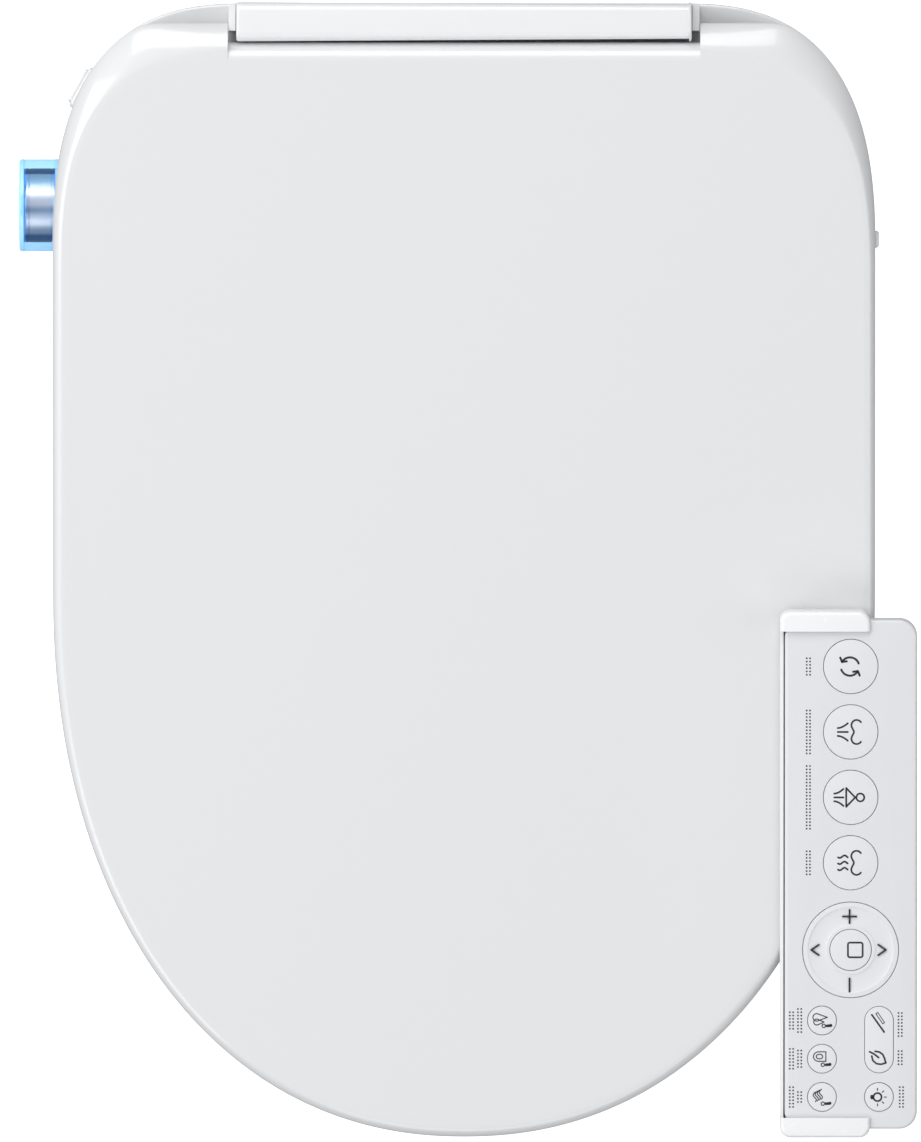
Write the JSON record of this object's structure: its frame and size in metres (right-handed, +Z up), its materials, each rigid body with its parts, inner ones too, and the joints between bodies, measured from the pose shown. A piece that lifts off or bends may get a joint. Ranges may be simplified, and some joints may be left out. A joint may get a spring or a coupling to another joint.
{
  "type": "electric bidet seat",
  "caption": "Heated toilet seat with bidet base unit, soft-close lid, retracting wash nozzles, warm-air dryer, lit side knob and a remote in a slide-out cradle.",
  "frame": {"origin": "midway between the two bowl fixings, on the underside of the mounting plate, which is the bowl's top face", "axes": "+Z up, +Y to the rear of the bowl, +X to the right of someone looking from the front tip to the rear"},
  "size_m": [0.421, 0.5319, 0.098],
  "materials": {
    "gloss_shell": "glossy white moulded plastic",
    "seat_shell": "glossy white moulded plastic, antibacterial grade",
    "satin_plastic": "satin light moulded plastic",
    "grey_plastic": "grey moulded plastic",
    "dark_plastic": "dark moulded plastic, fine texture",
    "rubber": "soft light rubber",
    "steel": "brushed stainless steel",
    "chrome": "bright chrome plating",
    "brass": "machined brass",
    "lit_sleeve": "translucent acrylic lit blue from inside",
    "remote_shell": "semi-gloss white moulded plastic",
    "remote_button": "semi-gloss white caps with printed line symbols",
    "circuit_board": "green solder mask",
    "frosted_lens": "frosted translucent plastic",
    "battery_wrap": "plain wrapped dry cell"
  },
  "bodies": {
    "base": {"lower_casing": "gloss_shell", "upper_casing": "gloss_shell", "rear_cover": "gloss_shell", "damper_pin_left": "steel", "damper_pin_right": "steel", "nozzle_cradle": "satin_plastic", "rear_nozzle_motor": "steel", "front_nozzle_motor": "steel", "nozzle_hood": "gloss_shell", "water_heater": "steel", "solenoid_valve": "grey_plastic", "water_inlet": "brass", "diverter_valve": "grey_plastic", "dryer_fan_housing": "dark_plastic", "dryer_duct": "dark_plastic", "control_board": "circuit_board", "power_supply": "grey_plastic", "night_light_lens": "frosted_lens", "cord_gland": "dark_plastic"},
    "mounting_plate": {"mounting_plate": "dark_plastic"},
    "rear_nozzle": {"rear_nozzle": "satin_plastic"},
    "front_nozzle": {"front_nozzle": "satin_plastic"},
    "dryer_fan": {"dryer_fan_wheel": "grey_plastic"},
    "dryer_flap": {"dryer_flap": "gloss_shell"},
    "deodoriser_filter": {"deodoriser_filter": "dark_plastic"},
    "power_button": {"power_button": "gloss_shell"},
    "release_button": {"release_button": "gloss_shell"},
    "knob_shaft": {"knob_shaft": "steel"},
    "knob": {"knob_core": "chrome", "knob_sleeve": "lit_sleeve"},
    "seat": {"seat_top": "seat_shell", "seat_base": "seat_shell", "seat_heater": "dark_plastic", "seat_bumper_left_rear": "rubber", "seat_bumper_right_rear": "rubber", "seat_bumper_left_front": "rubber", "seat_bumper_right_front": "rubber"},
    "lid": {"lid_shell": "gloss_shell", "lid_liner": "gloss_shell", "lid_bumper_left": "rubber", "lid_bumper_right": "rubber"},
    "cradle": {"remote_cradle": "remote_shell", "cradle_pad": "rubber"},
    "remote": {"remote_front": "remote_shell", "remote_back": "remote_shell", "battery_upper": "battery_wrap", "battery_lower": "battery_wrap", "remote_board": "circuit_board"},
    "battery_door": {"battery_door": "remote_shell"},
    "auto_button": {"auto_button": "remote_button"},
    "rear_wash_button": {"rear_wash_button": "remote_button"},
    "front_wash_button": {"front_wash_button": "remote_button"},
    "dryer_button": {"dryer_button": "remote_button"},
    "water_heat_button": {"water_heat_button": "remote_button"},
    "seat_heat_button": {"seat_heat_button": "remote_button"},
    "air_heat_button": {"air_heat_button": "remote_button"},
    "light_button": {"light_button": "remote_button"},
    "eco_clean_button": {"eco_clean_button": "remote_button"},
    "direction_pad": {"direction_pad": "remote_button"},
    "stop_button": {"stop_button": "remote_button"}
  },
  "joints": [
    {"name": "plate_release", "type": "slide", "parent": "base", "child": "mounting_plate", "axis": [0, 1, 0], "range_m": [0, 0.11]},
    {"name": "rear_nozzle_slide", "type": "slide", "parent": "base", "child": "rear_nozzle", "axis": [0, -0.9511, -0.309], "range_m": [0, 0.09]},
    {"name": "front_nozzle_slide", "type": "slide", "parent": "base", "child": "front_nozzle", "axis": [0, -0.9511, -0.309], "range_m": [0, 0.09]},
    {"name": "dryer_fan_spin", "type": "hinge", "parent": "base", "child": "dryer_fan", "pos_m": [0.074, -0.012, 0.026], "axis": [0, 0, 1], "continuous": true},
    {"name": "dryer_flap_hinge", "type": "hinge", "parent": "base", "child": "dryer_flap", "pos_m": [0.058, -0.05925, 0.034], "axis": [-1, 0, 0], "range_deg": [0, 60]},
    {"name": "filter_slide", "type": "slide", "parent": "base", "child": "deodoriser_filter", "axis": [0, 0, -1], "range_m": [0, 0.04]},
    {"name": "power_button_press", "type": "slide", "parent": "base", "child": "power_button", "axis": [0.8716, -0.4903, 0], "range_m": [0, 0.0012], "stiffness_N_per_m": 800},
    {"name": "release_button_press", "type": "slide", "parent": "base", "child": "release_button", "axis": [-1, 0, 0], "range_m": [0, 0.002], "stiffness_N_per_m": 800},
    {"name": "knob_press", "type": "slide", "parent": "base", "child": "knob_shaft", "axis": [1, 0, 0], "range_m": [0, 0.002], "stiffness_N_per_m": 700},
    {"name": "knob_turn", "type": "hinge", "parent": "knob_shaft", "child": "knob", "pos_m": [-0.199, -0.0376, 0.03], "axis": [1, 0, 0], "range_deg": [-45, 45], "stiffness_Nm_per_rad": 0.05},
    {"name": "seat_hinge", "type": "hinge", "parent": "base", "child": "seat", "pos_m": [0, 0.0292, 0.08828], "axis": [1, 0, 0], "range_deg": [-92, 0]},
    {"name": "lid_hinge", "type": "hinge", "parent": "seat", "child": "lid", "pos_m": [0, 0.0292, 0.08828], "axis": [-1, 0, 0], "range_deg": [0, 95]},
    {"name": "cradle_lift", "type": "slide", "parent": "lid", "child": "cradle", "axis": [0, -0.0816, 0.9967], "range_m": [0, 0.1]},
    {"name": "remote_slide", "type": "slide", "parent": "cradle", "child": "remote", "axis": [1, 0, 0], "range_m": [0, 0.075]},
    {"name": "battery_door_slide", "type": "slide", "parent": "remote", "child": "battery_door", "axis": [1, 0, 0], "range_m": [0, 0.065]},
    {"name": "auto_button_press", "type": "slide", "parent": "remote", "child": "auto_button", "axis": [0, 0.0816, -0.9967], "range_m": [0, 0.0005], "stiffness_N_per_m": 1000},
    {"name": "rear_wash_button_press", "type": "slide", "parent": "remote", "child": "rear_wash_button", "axis": [0, 0.0816, -0.9967], "range_m": [0, 0.0005], "stiffness_N_per_m": 1000},
    {"name": "front_wash_button_press", "type": "slide", "parent": "remote", "child": "front_wash_button", "axis": [0, 0.0816, -0.9967], "range_m": [0, 0.0005], "stiffness_N_per_m": 1000},
    {"name": "dryer_button_press", "type": "slide", "parent": "remote", "child": "dryer_button", "axis": [0, 0.0816, -0.9967], "range_m": [0, 0.0005], "stiffness_N_per_m": 1000},
    {"name": "water_heat_button_press", "type": "slide", "parent": "remote", "child": "water_heat_button", "axis": [0, 0.0816, -0.9967], "range_m": [0, 0.0005], "stiffness_N_per_m": 1000},
    {"name": "seat_heat_button_press", "type": "slide", "parent": "remote", "child": "seat_heat_button", "axis": [0, 0.0816, -0.9967], "range_m": [0, 0.0005], "stiffness_N_per_m": 1000},
    {"name": "air_heat_button_press", "type": "slide", "parent": "remote", "child": "air_heat_button", "axis": [0, 0.0816, -0.9967], "range_m": [0, 0.0005], "stiffness_N_per_m": 1000},
    {"name": "light_button_press", "type": "slide", "parent": "remote", "child": "light_button", "axis": [0, 0.0816, -0.9967], "range_m": [0, 0.0005], "stiffness_N_per_m": 1000},
    {"name": "eco_clean_button_press", "type": "slide", "parent": "remote", "child": "eco_clean_button", "axis": [0, 0.0816, -0.9967], "range_m": [0, 0.0005], "stiffness_N_per_m": 1000},
    {"name": "direction_pad_press", "type": "slide", "parent": "remote", "child": "direction_pad", "axis": [0, 0.0816, -0.9967], "range_m": [0, 0.0005], "stiffness_N_per_m": 1000},
    {"name": "stop_button_press", "type": "slide", "parent": "remote", "child": "stop_button", "axis": [0, 0.0816, -0.9967], "range_m": [0, 0.0005], "stiffness_N_per_m": 1000}
  ]
}
